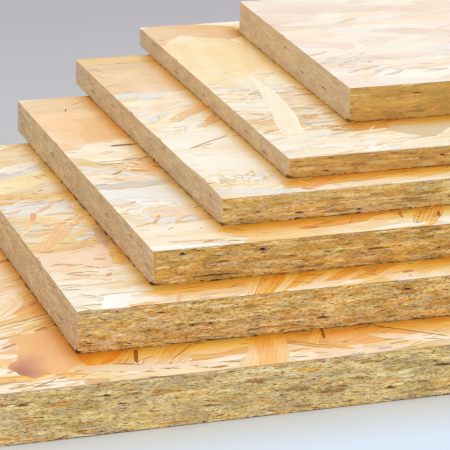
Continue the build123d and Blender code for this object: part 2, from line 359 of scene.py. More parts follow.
# Clusters of small broken strands: middle, spread along and across, count, shortest and longest, narrowest
# and widest, all in mm, angle and its spread, and colours
SEEN_CLUSTERS = {
    "panel_1_bottom": (
        (70, 6, 60, 5, 34, (3, 13), (0.6, 1.8), 4, 14, ((RUST, 2), (UMBER, 3), (CREAM, 4), (BLUSH, 4))),
        (26, 55, 12, 24, 26, (5, 18), (0.8, 2.6), 24, 12,
         ((CREAM, 4), (PEACH, 4), (UMBER, 3), (STRAW, 3))),
    ),
    "panel_2": (
        (15, 98, 12, 26, 34, (5, 18), (0.8, 2.8), 24, 26, ((PEACH, 4), (STRAW, 4), (MIST, 2), (TAN, 3))),
        (12, 40, 12, 20, 22, (3, 12), (0.5, 1.4), -4, 14, ((SNOW, 4), (CREAM, 4), (UMBER, 3), (RUST, 1))),
    ),
    "panel_3": (
        (13, 50, 10, 12, 40, (3, 13), (0.6, 2.2), 20, 40, ((BUFF, 5), (SNOW, 5), (STRAW, 4), (TAN, 1))),
        (22, 100, 14, 10, 24, (4, 14), (0.8, 2.4), -20, 20,
         ((BUFF, 5), (CREAM, 4), (MIST, 3), (UMBER, 1))),
    ),
    "panel_4": (
        (12, 24, 11, 7, 80, (2, 9), (0.5, 2.2), 0, 60,
         ((SNOW, 6), (STRAW, 4), (BUFF, 5), (ASH, 2), (UMBER, 1))),
        (24, 112, 12, 10, 24, (5, 16), (1.0, 3.0), 46, 16,
         ((PEACH, 4), (CREAM, 4), (STRAW, 3), (MIST, 2))),
    ),
    "panel_5": (
        (16, 98, 10, 14, 50, (6, 22), (1.2, 3.2), 2, 16,
         ((ASH, 3), (PEARL, 5), (CREAM, 4), (BLUSH, 5), (MIST, 3))),
        (34, 50, 10, 14, 56, (6, 20), (1.2, 3.2), 0, 18, ((ASH, 4), (BUFF, 6), (CREAM, 4), (TAN, 2))),
        (10, 56, 7, 18, 34, (6, 20), (1.2, 3.0), 4, 16, ((BLUSH, 4), (BUFF, 6), (TAN, 1), (PEARL, 4))),
        (62, 8, 50, 5, 50, (4, 16), (0.6, 1.8), 6, 14,
         ((PEARL, 4), (SNOW, 4), (BUFF, 4), (STRAW, 2), (ASH, 1))),
    ),
    "panel_6_top": (
        (17, 36, 8, 9, 40, (4, 13), (0.8, 2.4), 22, 10, ((SKY, 3), (MIST, 4), (PINK, 5), (SNOW, 5))),
        (50, 40, 22, 14, 30, (5, 18), (0.8, 2.4), 14, 16, ((BLUSH, 2), (PINK, 5), (SNOW, 4))),
    ),
}

# Strand colours of the sawn edges
KHAKI = (240, 208, 140)
WHEAT = (250, 220, 152)
BLOND = (252, 226, 174)
SAGE = (226, 200, 152)
OCHRE = (238, 190, 106)
GOLD = (224, 181, 102)
BARK = (202, 158, 98)
PIT = (84, 52, 30)
ROSE = (225, 195, 156)
SAND = (225, 199, 152)
DUSK = (218, 193, 154)

# The sawn edges of each board: along the strands at the front and back, across them at the ends
EDGE_TONES = {
    "panel_1_bottom": ((KHAKI, 9), (WHEAT, 7), (BLOND, 4), (SAGE, 7), (OCHRE, 2), (BARK, 1)),
    "panel_2": ((KHAKI, 8), (GOLD, 4), (WHEAT, 6), (BLOND, 3), (SAGE, 4), (OCHRE, 3), (BARK, 1)),
    "panel_3": ((KHAKI, 3), (GOLD, 12), (WHEAT, 3), (SAGE, 1), (OCHRE, 4), (BARK, 2)),
    "panel_4": ((KHAKI, 9), (GOLD, 3), (WHEAT, 8), (BLOND, 2), (SAGE, 3), (OCHRE, 3), (BARK, 1)),
    "panel_5": ((KHAKI, 2), (GOLD, 14), (OCHRE, 2), (BARK, 2)),
    "panel_6_top": ((KHAKI, 1), (GOLD, 14), (OCHRE, 3), (BARK, 1)),
}
END_TONES = ((SAND, 9), (ROSE, 6), (DUSK, 7))

# Cracks between the strands: length and width, the spread of angles in degrees, their level and colours
CRACK_LENGTH_MM = (1.5, 9.0)
CRACK_WIDTH_MM = (0.22, 0.6)
CRACK_SPREAD = 24
CRACK_LEVEL_MM = 0.03
CRACK_TONES = ((UMBER, 4), (RUST, 3), (STICK, 3), (CRACK, 2))

# Rows of slivers on a sawn side: the rows' height and waves, the shortest and longest slivers of each side,
# their heights, how they follow one another, and their outline in shares of their length and height
ROW_HEIGHT_MM = 0.96
ROW_STRAY_MM = 0.2
EDGE_WAVES = ((0.34, 17, 1), (0.22, 6.3, 2.1))
FRONT_SLIVERS_MM = (3, 14)
BACK_SLIVERS_MM = (6, 26)
LEFT_SLIVERS_MM = (2.5, 9)
RIGHT_SLIVERS_MM = (5, 20)
SLIVER_HEIGHTS = (1.15, 1.75)
SLIVER_OVERLAP = 1.25
SLIVER_PACE = 0.8
SLIVER_LEVELS = (0.35, 0.9)
SLIVER_SLOPE = 0.012
SLIVER_STRAY = (0.06, 0.10)
SLIVER_PROFILE = ((-0.50, 0.0), (-0.20, -0.44), (0.22, -0.48), (0.50, 0.05), (0.26, 0.46), (-0.16, 0.50))

# Open gaps between the slivers: lengths on edges and ends, heights, colours, how far they keep from the
# upper and lower edges, how many there are for the slivers, and their level, also that of seen cracks
EDGE_GAPS_MM = (0.8, 5.0)
END_GAPS_MM = (0.3, 0.9)
GAP_HEIGHT_MM = (0.12, 0.34)
GAP_TONES = ((PIT, 2), (BARK, 3))
GAP_INSET_MM = 0.4
EDGE_GAP_SHARE = 0.22
SUNKEN_MM = 0.02

# Frayed splinters along the sharp edges of the sawn faces: how far above the lower edge and below the upper
# one, how far they stand out as shares of the face's lift, and their spacing and sizes
FRAY_LOWER_MM = (-0.08, 0.12)
FRAY_UPPER_MM = (0.22, 0.06)
FRAY_LEVELS = (0.5, 1.1)
FRAY_INSET_MM = 2.0
FRAY_SPACING_MM = (0.4, 4.5)
FRAY_LENGTH_MM = (1.2, 6.0)
FRAY_HEIGHT_MM = (0.25, 0.6)


class Surface:
    """A flat face of a board: a corner, two ways across it, the way out of it, and its outline in mm.

    The faces that are sawn go on past their sides, half way round the board's upright corners.
    """

    def __init__(self, mesh, right, up, outward):
        self.right = right
        self.up = up
        self.outward = outward
        facing = [p for p in mesh.polygons if p.normal.dot(outward) > SAME_WAY]
        reach = max(p.center.dot(outward) for p in facing)
        level = [p for p in facing if p.center.dot(outward) > reach - SAME_LEVEL_MM * MM]
        places = [mesh.vertices[v].co for p in level for v in p.vertices]
        least_right = min(p.dot(right) for p in places)
        least_up = min(p.dot(up) for p in places)
        self.corner = right * least_right + up * least_up + outward * reach
        self.loops = self.outline_loops(mesh, level)
        self.loops.sort(key=lambda loop: -abs(area_of(loop)))
        self.width = max(x for x, y in self.loops[0])
        self.height = max(y for x, y in self.loops[0])
        self.bends = []
        if abs(outward.z) < 0.5:
            self.go_round_corners()

    def go_round_corners(self):
        """Moves the sides of the outline to the middle of the corners, and notes where the face bends."""
        reach = CORNER_RADIUS_MM * math.pi / 4
        near = 0.01

        def moved(x):
            return -reach if x < near else self.width + reach if x > self.width - near else x

        self.loops[0] = [(moved(x), y) for x, y in self.loops[0]]
        self.bends = [-reach / 2, 0.0, self.width, self.width + reach / 2]

    def flat(self, place):
        """A point of the scene as (right, up) on this face, in mm."""
        offset = place - self.corner
        return offset.dot(self.right) / MM, offset.dot(self.up) / MM

    def solid(self, x, y, lift):
        """The scene's point for a place on the face and so many mm out of it."""
        past = min(x, 0.0) + max(x - self.width, 0.0)
        turn = past / CORNER_RADIUS_MM
        facing = self.outward * math.cos(turn) + self.right * math.sin(turn)
        middle = self.right * (x - past) + self.up * y - self.outward * CORNER_RADIUS_MM
        return self.corner + (middle + facing * (CORNER_RADIUS_MM + lift)) * MM

    def outline_loops(self, mesh, polygons):
        """The face's outer outline and the outlines of the holes in it."""
        sides = {}
        for polygon in polygons:
            ring = list(polygon.vertices)
            for start, end in around(ring):
                sides[start, end] = True
        follows = {start: end for start, end in sides if (end, start) not in sides}
        loops = []
        while follows:
            first, vertex = follows.popitem()
            loop = [first]
            while vertex != first and vertex in follows:
                loop.append(vertex)
                vertex = follows.pop(vertex)
            if vertex == first:
                loops.append([self.flat(mesh.vertices[v].co) for v in loop])
        return loops


def around(ring):
    """The sides of a closed outline, as pairs of neighbours."""
    return zip(ring, ring[1:] + ring[:1])


def area_of(loop):
    """An outline's area, negative where it runs clockwise."""
    return sum(a[0] * b[1] - b[0] * a[1] for a, b in around(loop)) / 2


class Board:
    """A board's six flat faces, found on its solid."""

    def __init__(self, name):
        self.name = name
        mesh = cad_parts[name].data
        fronts = [p for p in mesh.polygons if p.normal.y < FRONTWARD and abs(p.normal.z) < UPRIGHT]
        front = max(fronts, key=lambda polygon: polygon.area).normal.copy()
        right = Vector((-front.y, front.x, 0))
        back = -front
        up = Vector((0, 0, 1))
        self.top = Surface(mesh, right, back, up)
        self.bottom = Surface(mesh, right, front, -up)
        self.front = Surface(mesh, right, up, front)
        self.right = Surface(mesh, back, up, right)
        self.back = Surface(mesh, -right, up, back)
        self.left = Surface(mesh, front, up, -right)

    def depth_of(self, nodes):
        """Shader value: how deep a point lies inside the board, in metres."""
        top = self.top
        half = Vector((top.width, top.height, self.front.height + LOWER_ARRIS_MM)) / 2 * MM
        middle = top.solid(top.width / 2, top.height / 2, 0) - Vector((0, 0, half.z))
        turn = math.atan2(top.right.y, top.right.x)
        offset = nodes.vectors("SUBTRACT", nodes.place, middle)
        inputs = {"Vector": offset, "Angle": -turn}
        squared = nodes.add("ShaderNodeVectorRotate", inputs, rotation_type="Z_AXIS").outputs["Vector"]
        inside = nodes.vectors("SUBTRACT", half, nodes.vectors("ABSOLUTE", squared))
        level = nodes.math("MINIMUM", nodes.part(inside, "X"), nodes.part(inside, "Y"))
        return nodes.math("MINIMUM", level, nodes.part(inside, "Z"))

    def footprint(self, surface):
        """The board's outline seen on another board's face, a little inside its own edges."""
        near = COVER_MARGIN_MM
        right = self.top.width - near
        back = self.top.height - near
        corners = ((near, near), (right, near), (right, back), (near, back))
        outline = [surface.flat(self.top.solid(x, y, 0)) for x, y in corners]
        return outline if area_of(outline) > 0 else outline[::-1]


class Shape:
    """One strand, or the end of one, on a face: its outline, the way its grain runs, its level and colour.

    A stain lies within another shape, and shows nowhere else.
    """

    def __init__(self, outline, middle, angle, level, tone, figure, tilt=(0.0, 0.0), offset=(0.0, 0.0)):
        self.within = None
        self.outline = outline
        self.figure = figure
        self.middle = middle
        self.angle = angle
        self.level = level
        self.tone = tone
        self.tilt = tilt
        self.offset = offset

    def height(self, x, y):
        return self.level + self.tilt[0] * (x - self.middle[0]) + self.tilt[1] * (y - self.middle[1])

    def grain(self, x, y):
        """Where a point lies along and across the grain, in mm, shifted so that no two strands match."""
        cosine = math.cos(self.angle)
        sine = math.sin(self.angle)
        along = (x - self.middle[0]) * cosine + (y - self.middle[1]) * sine
        across = -(x - self.middle[0]) * sine + (y - self.middle[1]) * cosine
        return along + self.offset[0], across + self.offset[1]


def visible_bits(surface, shapes, covers):
    """Cuts a face up along every outline. Returns the points, and the triangles that each shape shows."""
    outlines = surface.loops + covers + [shape.outline for shape in shapes]
    first_shape = len(surface.loops) + len(covers)
    points = []
    rings = []
    for outline in outlines:
        if area_of(outline) < 0:
            outline = outline[::-1]
        rings.append(list(range(len(points), len(points) + len(outline))))
        points += [Vector(point) for point in outline]
    folds = []
    for x in surface.bends:
        folds.append((len(points), len(points) + 1))
        points += [Vector((x, -1.0)), Vector((x, surface.height + 1.0))]
    cut = delaunay_2d_cdt(points, folds, rings, ONLY_INSIDE, JOIN_DISTANCE_MM, True)
    points, _, triangles, _, _, owners = cut
    numbers = {id(shape): first_shape + number for number, shape in enumerate(shapes)}
    holders = {numbers[id(shape)]: numbers[id(shape.within)] for shape in shapes if shape.within}
    shown = {}
    for triangle, inside in zip(triangles, owners):
        inside = [owner for owner in inside if holders.get(owner, owner) in inside]
        highest = max(inside, default=0)
        hidden = any(0 < owner < first_shape for owner in inside)
        if highest >= first_shape and 0 in inside and not hidden:
            shown.setdefault(highest - first_shape, []).append(triangle)
    return points, shown


def distances_from(cover, x, y):
    """How far a point lies ahead of the board that rests on this face, and beside it, in mm."""
    if cover is None:
        return FAR_AWAY_MM, FAR_AWAY_MM
    ahead = aside = -FAR_AWAY_MM
    for (x1, y1), (x2, y2) in around(cover):
        length = math.hypot(x2 - x1, y2 - y1)
        outside = ((x - x1) * (y2 - y1) - (y - y1) * (x2 - x1)) / length - COVER_MARGIN_MM
        if abs(x2 - x1) > abs(y2 - y1):
            ahead = max(ahead, outside)
        else:
            aside = max(aside, outside)
    return ahead, aside


class Skin:
    """Gathers the mesh of one board's strands."""

    def __init__(self):
        self.places = []
        self.faces = []
        self.tones = []
        self.grains = []
        self.rims = []
        self.ahead = []
        self.aside = []
        self.cover = None

    def add_point(self, surface, shape, x, y, lift, rim):
        self.places.append(surface.solid(x, y, lift))
        self.grains.append(shape.grain(x, y))
        self.rims.append(rim)
        ahead, aside = distances_from(self.cover, x, y)
        self.ahead.append(ahead)
        self.aside.append(aside)

    def add_face(self, shape, ring):
        self.faces.append(tuple(ring))
        self.tones.append((*shape.tone, shape.figure))

    def lay(self, surface, shapes, cover=None):
        """Lays shapes on a face. Where a strand stands above its neighbour it gets a rim down to it."""
        points, shown = visible_bits(surface, shapes, [cover] if cover else [])
        self.cover = cover
        sides = {}
        for number, triangles in shown.items():
            shape = shapes[number]
            corner_of = {}
            for triangle in triangles:
                for vertex in triangle:
                    if vertex not in corner_of:
                        x, y = points[vertex]
                        corner_of[vertex] = len(self.places)
                        self.add_point(surface, shape, x, y, shape.height(x, y), 0.0)
                self.add_face(shape, [corner_of[vertex] for vertex in triangle])
                for side in around(triangle):
                    sides[side] = number
        for (start, end), number in sides.items():
            neighbour = sides.get((end, start))
            if neighbour != number:
                beside = None if neighbour is None else shapes[neighbour]
                self.add_rim(surface, shapes[number], beside, (tuple(points[start]), tuple(points[end])))

    def add_rim(self, surface, shape, beside, ends):
        tops = [shape.height(x, y) for x, y in ends]
        if beside is None:
            feet = [-RIM_SINK_MM, -RIM_SINK_MM]
        else:
            feet = [beside.height(x, y) - RIM_SINK_MM for x, y in ends]
            if sum(tops) < sum(feet) + 2 * (RIM_SINK_MM + LEAST_RIM_MM):
                return
        self.add_side(surface, shape, ends, tops, feet)

    def add_side(self, surface, shape, ends, tops, feet):
        """A side of a shape, between two points of its outline, down from their tops to their feet."""
        first = len(self.places)
        for (x, y), lift in ((ends[0], tops[0]), (ends[0], feet[0]), (ends[1], feet[1]), (ends[1], tops[1])):
            self.add_point(surface, shape, x, y, lift, 1.0)
        self.add_face(shape, range(first, first + 4))

    def add_splinter(self, surface, shape):
        """A frayed splinter: the shape at its level, with sides that go down into the wood behind it."""
        outline = shape.outline if area_of(shape.outline) > 0 else shape.outline[::-1]
        first = len(self.places)
        for x, y in outline:
            self.add_point(surface, shape, x, y, shape.level, 0.0)
        self.add_face(shape, range(first, len(self.places)))
        for ends in around(outline):
            self.add_side(surface, shape, ends, (shape.level, shape.level), (0.0, 0.0))

    def piece(self, name, material):
        """Makes the gathered strands one piece of the scene."""
        mesh = bpy.data.meshes.new(name)
        mesh.from_pydata(self.places, [], self.faces)
        tone = mesh.attributes.new("tone", "FLOAT_COLOR", "FACE")
        tone.data.foreach_set("color", [channel for tone in self.tones for channel in tone])
        for label, values in (("rim", self.rims), ("ahead", self.ahead), ("aside", self.aside)):
            attribute = mesh.attributes.new(label, "FLOAT", "POINT")
            attribute.data.foreach_set("value", values)
        grain = mesh.uv_layers.new(name="grain")
        corners = [0] * len(mesh.loops)
        mesh.loops.foreach_get("vertex_index", corners)
        scale = MM * GRAIN_PER_M
        grain.data.foreach_set("uv", [c * scale for vertex in corners for c in self.grains[vertex]])
        mesh.materials.append(material)
        mesh.validate()
        obj = added(name, mesh)
        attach(obj, "root")


def added(name, data):
    """A new object of the scene."""
    obj = bpy.data.objects.new(name, data)
    bpy.context.scene.collection.objects.link(obj)
    return obj


def pick(chance, weighted, warmth=0.02, spread=0.035):
    """One of several colours, by weight, a little lighter, darker, warmer or cooler each time."""
    colours = [colour for colour, _ in weighted]
    weights = [weight for _, weight in weighted]
    colour = chance.choices(colours, weights)[0]
    light = chance.gauss(1.0, spread)
    warm = chance.gauss(0.0, warmth)
    shifts = (1 + warm, 1, 1 - BLUE_SWING * warm)
    return linear(*(min(max(value * light * shift, 0), BRIGHTEST) for value, shift in zip(colour, shifts)))


def grain_offset(chance):
    return (chance.uniform(0, GRAIN_SHIFT_MM), chance.uniform(0, GRAIN_SHIFT_MM))


def turned(points, middle, angle):
    """Points of a strand's own system placed on the face."""
    cosine = math.cos(angle)
    sine = math.sin(angle)
    return [(middle[0] + x * cosine - y * sine, middle[1] + x * sine + y * cosine) for x, y in points]


# A torn strand's outline: how many steps its sides have and how far these stray along and across, how wide
# its ends are and how soon they narrow, and how many splinters an end has and how far they reach
SIDE_STEPS = 6
STEP_STRAY = 0.3
SIDE_WAVE = 0.07
END_WIDTHS = (0.25, 1.0)
END_FILL = 0.9
TAPER_SHARE = 0.25
SPLINTERS = (1, 4)
SPLINTER_REACH = (-0.35, 0.9)
LONGEST_SPLINTER = 0.25
BLUNT_END = 1.1


def strand_points(chance, length, width, bow):
    """A torn strand's outline about its middle: two wavy long sides and two broken ends."""
    taper_left = chance.uniform(*END_WIDTHS)
    taper_right = chance.uniform(*END_WIDTHS)
    wave = width * SIDE_WAVE

    def half_width(share):
        end = taper_left if share < 0.5 else taper_right
        fade = min(1.0, min(share, 1 - share) / TAPER_SHARE)
        return width / 2 * (end + (1 - end) * fade)

    def bent(x):
        return bow * (2 * x / length) ** 2

    def side(sign):
        points = []
        for step in range(SIDE_STEPS + 1):
            share = step / SIDE_STEPS
            x = (share - 0.5) * length + chance.uniform(-STEP_STRAY, STEP_STRAY) * length / SIDE_STEPS
            stray = chance.uniform(-wave, wave) if 0 < step < SIDE_STEPS else 0.0
            points.append((x, sign * (half_width(share) + stray) + bent(x)))
        return points

    def broken_end(sign, taper):
        """Splinters of a broken end, walked from the lower long side up."""
        count = chance.randint(*SPLINTERS)
        longest = min(width, length * LONGEST_SPLINTER) * (BLUNT_END - taper)
        points = []
        for number in range(count):
            share = (number + 0.5) / count - 0.5
            x = sign * (length / 2 + chance.uniform(*SPLINTER_REACH) * longest)
            points.append((x, share * width * taper * END_FILL + bent(x)))
        return points

    lower = side(-1)
    upper = side(1)
    right_end = broken_end(1, taper_right)
    left_end = broken_end(-1, taper_left)
    return lower + right_end + upper[::-1] + left_end[::-1]


def strand(chance, tone, middle, length, width, angle, level, figure, bow):
    """One strand on a pressed face, tilted a little less than its level allows."""
    outline = turned(strand_points(chance, length, width, bow), middle, angle)
    steep = STEEPEST * level
    tilt = (chance.uniform(-steep, steep), chance.uniform(-steep, steep))
    return Shape(outline, middle, angle, level, tone, figure, tilt, grain_offset(chance))


# How high strands lie, least and most, as shares of their face's lift: the scattered ones from the lowest
# layer up, the ones that the photograph shows, and the small bits, with how strong their grain is drawn
FACE_LEVELS = (0.25, 0.75)
SEEN_LEVELS = (0.75, 1.0)
BIT_LEVELS = (0.3, 0.9)
BIT_FIGURE = 0.2

# How warmth and lightness vary from strand to strand: without grain, and how much more with full grain
FACE_WARMTH = (0.006, 0.018)
FACE_SPREAD = (0.015, 0.025)
EDGE_WARMTH = 0.008
EDGE_SPREAD = (0.01, 0.025)

# Layers of a pressed face, from the lowest: spacing along and across, length, width, in mm, and the
# spread of angles in degrees. Undersides have no small bits, and the one on the floor has fewer strands.
FACE_LAYERS = (
    (40, 14, (60, 120), (18, 38), 14),
    (44, 17, (45, 110), (12, 30), 18),
    (52, 22, (30, 90), (6, 18), 24),
    (60, 30, (8, 30), (1.0, 3.6), 34),
)
UNDERSIDE_LAYERS = FACE_LAYERS[:3]
FLOOR_LAYERS = FACE_LAYERS[:2]


def risen(start, rise, share):
    return start + rise * share


def between(limits, share):
    return limits[0] + (limits[1] - limits[0]) * share


def face_strands(chance, tones, figures, surface, layers, lift=STRAND_LIFT_MM):
    """Strands all over a pressed face, layer on layer, lying mostly along the board."""
    shapes = []
    for layer, (step_x, step_y, lengths, widths, spread) in enumerate(layers):
        spots = []
        for column in range(int(surface.width / step_x) + 2):
            for row in range(int(surface.height / step_y) + 2):
                x = (column + chance.uniform(-0.5, 0.5)) * step_x
                y = (row + chance.uniform(-0.5, 0.5)) * step_y
                spots.append((x, y))
        chance.shuffle(spots)
        for number, spot in enumerate(spots):
            share = (layer + number / len(spots)) / len(layers)
            length = chance.uniform(*lengths)
            width = chance.uniform(*widths)
            angle = math.radians(chance.gauss(0, spread))
            level = lift * between(FACE_LEVELS, share)
            figure = chance.uniform(*figures)
            bow = chance.uniform(-FACE_BOW, FACE_BOW) * length
            tone = pick(chance, tones, risen(*FACE_WARMTH, figures[1]), risen(*FACE_SPREAD, figures[1]))
            shapes.append(strand(chance, tone, spot, length, width, angle, level, figure, bow))
    return shapes


def seen_strands(chance, name):
    """The strands of a board's top that the photograph shows; a crack is a sunken, dark one."""
    shapes = []
    seen = SEEN_STRANDS[name]
    for number, (x, y, length, width, angle, tone, figure) in enumerate(seen):
        share = number / len(seen)
        level = SUNKEN_MM if tone is CRACK else STRAND_LIFT_MM * between(SEEN_LEVELS, share)
        bow = chance.uniform(-SEEN_BOW, SEEN_BOW) * length
        turn = math.radians(angle)
        shapes.append(strand(chance, linear(*tone), (x, y), length, width, turn, level, figure, bow))
    return shapes


def oval(length, width, wobbles, steps, inset=0.0):
    """An uneven oval's outline; the wobbles are (strength, how many a turn, start angle)."""
    outline = []
    for step in range(steps):
        angle = math.tau * step / steps
        wobble = 1.0
        for strength, count, start in wobbles:
            wobble += strength * math.sin(count * angle + start)
        along = (length * wobble - inset) * math.cos(angle)
        across = (width * wobble - inset) * math.sin(angle)
        outline.append((along, across))
    return outline


def seen_knots(chance, name):
    """Knots in the strands of a board's top: ring inside ring."""
    shapes = []
    for x, y, length, width, angle, rings, wood, line in SEEN_KNOTS.get(name, ()):
        turn = math.radians(angle)
        phase = chance.uniform(0, 6)
        wobbles = ((0.07, 2, phase), (0.05, 3, phase))
        for number in range(rings):
            share = 1 - number / rings
            for tone, inset in ((line, 0.0), (wood, KNOT_LINE_MM)):
                outline = oval(length * share, width * share, wobbles, KNOT_CORNERS, inset)
                outline = turned(outline, (x, y), turn)
                shapes.append(Shape(outline, (x, y), turn, KNOT_LEVEL_MM, linear(*tone), KNOT_FIGURE))
    return shapes


def seen_patches(chance, name):
    """The strands of a board's top that have an outline of their own, each with the marks in it."""
    shapes = []
    for angle, figure, layers in SEEN_PATCHES.get(name, ()):
        middle = layers[0][1][0]
        offset = grain_offset(chance)
        turn = math.radians(angle)
        for tone, outline in layers:
            tone = linear(*tone)
            shapes.append(Shape(list(outline), middle, turn, PATCH_LEVEL_MM, tone, figure, offset=offset))
    return shapes


def stain(patch):
    """Rings of colour from a dark spot at a strand's end out to the strand's own colour."""
    shapes = []
    for number in range(STAIN_STEPS):
        share = 1 - (number + 0.5) / STAIN_STEPS
        length, width = (between(sizes, share) for sizes in zip(STAIN_SMALLEST_MM, STAIN_LARGEST_MM))
        outline = oval(length, width, ((0.09, 3, share), (0.06, 5, 4 * share)), STAIN_CORNERS)
        outline = turned(outline, STAIN_SPOT_MM, math.radians(STAIN_ANGLE))
        strength = share ** STAIN_FALL
        tone = linear(*(between(channels, strength) for channels in zip(*STAIN_TONES)))
        ring = Shape(outline, patch.middle, patch.angle, patch.level, tone, patch.figure, offset=patch.offset)
        ring.within = patch
        shapes.append(ring)
    return shapes


def cracks(chance, count, surface, cover):
    """Thin dark cracks and torn edges between the strands, over the part of a face that shows."""
    shapes = []
    while len(shapes) < count:
        x = chance.uniform(0, surface.width)
        y = chance.uniform(0, surface.height)
        if max(distances_from(cover, x, y)) < 0:
            continue
        length = chance.uniform(*CRACK_LENGTH_MM)
        width = chance.uniform(*CRACK_WIDTH_MM)
        angle = math.radians(chance.gauss(0, CRACK_SPREAD))
        bow = chance.uniform(-CRACK_BOW, CRACK_BOW) * length
        tone = pick(chance, CRACK_TONES)
        shapes.append(strand(chance, tone, (x, y), length, width, angle, CRACK_LEVEL_MM, 0.0, bow))
    return shapes


def clusters(chance, name):
    """Small broken bits of strand."""
    shapes = []
    for x, y, along, across, count, lengths, widths, angle, turn_spread, tones in SEEN_CLUSTERS[name]:
        for _ in range(count):
            spot = (chance.gauss(x, along), chance.gauss(y, across))
            length = chance.uniform(*lengths)
            width = chance.uniform(*widths)
            turn = math.radians(chance.gauss(angle, turn_spread))
            level = STRAND_LIFT_MM * chance.uniform(*BIT_LEVELS)
            bow = chance.uniform(-BIT_BOW, BIT_BOW) * length
            tone = pick(chance, tones)
            shapes.append(strand(chance, tone, spot, length, width, turn, level, BIT_FIGURE, bow))
    return shapes


def edge_wave(x, phase):
    """How far the layers of a sawn edge wander up and down."""
    return sum(height * math.sin(x / length + turns * phase) for height, length, turns in EDGE_WAVES)


def sliver_points(chance, x, y, length, height, phase=None):
    """A strand cut through on its side: a long thin leaf that follows the layers, if there is a phase."""
    slope = chance.gauss(0, SLIVER_SLOPE)
    points = []
    for along, up in SLIVER_PROFILE:
        across = x + (along + chance.uniform(-SLIVER_STRAY[0], SLIVER_STRAY[0])) * length
        rise = (up + chance.uniform(-SLIVER_STRAY[1], SLIVER_STRAY[1])) * height + slope * along * length
        wave = 0.0 if phase is None else edge_wave(across, phase)
        points.append((across, y + rise + wave))
    return points


def edge_strands(chance, surface, tones, figure, lengths, gap_lengths, lift):
    """The strands that show on a sawn edge: rows of slivers, with small open gaps between them."""
    phase = chance.uniform(0, 6)
    shapes = []
    for row in range(int(surface.height / ROW_HEIGHT_MM) + 2):
        y = (row - 0.5) * ROW_HEIGHT_MM
        x = -chance.uniform(1, lengths[1])
        while x < surface.bends[-1]:
            length = chance.uniform(*lengths)
            height = ROW_HEIGHT_MM * chance.uniform(*SLIVER_HEIGHTS)
            middle = (x + length / 2, y + chance.uniform(-ROW_STRAY_MM, ROW_STRAY_MM))
            points = sliver_points(chance, *middle, length * SLIVER_OVERLAP, height, phase)
            level = lift * chance.uniform(*SLIVER_LEVELS)
            offset = grain_offset(chance)
            tone = pick(chance, tones, EDGE_WARMTH, risen(*EDGE_SPREAD, figure))
            shapes.append(Shape(points, middle, 0.0, level, tone, figure, offset=offset))
            x += length * SLIVER_PACE
    chance.shuffle(shapes)
    for _ in range(int(len(shapes) * EDGE_GAP_SHARE * figure)):
        x = chance.uniform(0, surface.width)
        y = chance.uniform(GAP_INSET_MM, surface.height - GAP_INSET_MM)
        length = chance.uniform(*gap_lengths)
        height = chance.uniform(*GAP_HEIGHT_MM)
        points = sliver_points(chance, x, y, length, height, phase)
        shapes.append(Shape(points, (x, y), 0.0, SUNKEN_MM, pick(chance, GAP_TONES), figure))
    return shapes


def fray(chance, skin, surface, tones, figure, lift):
    """Lays splinters along a sawn face's lower edge, down over its worn arris, and along its upper edge."""
    upper = [surface.height - depth for depth in FRAY_UPPER_MM]
    for rises in (FRAY_LOWER_MM, upper):
        x = FRAY_INSET_MM
        while x < surface.width - FRAY_INSET_MM:
            length = chance.uniform(*FRAY_LENGTH_MM)
            height = chance.uniform(*FRAY_HEIGHT_MM)
            rise = chance.uniform(*rises)
            points = sliver_points(chance, x, rise, length, height)
            level = lift * chance.uniform(*FRAY_LEVELS)
            skin.add_splinter(surface, Shape(points, (x, rise), 0.0, level, pick(chance, tones), figure))
            x += length / 2 + chance.uniform(*FRAY_SPACING_MM)


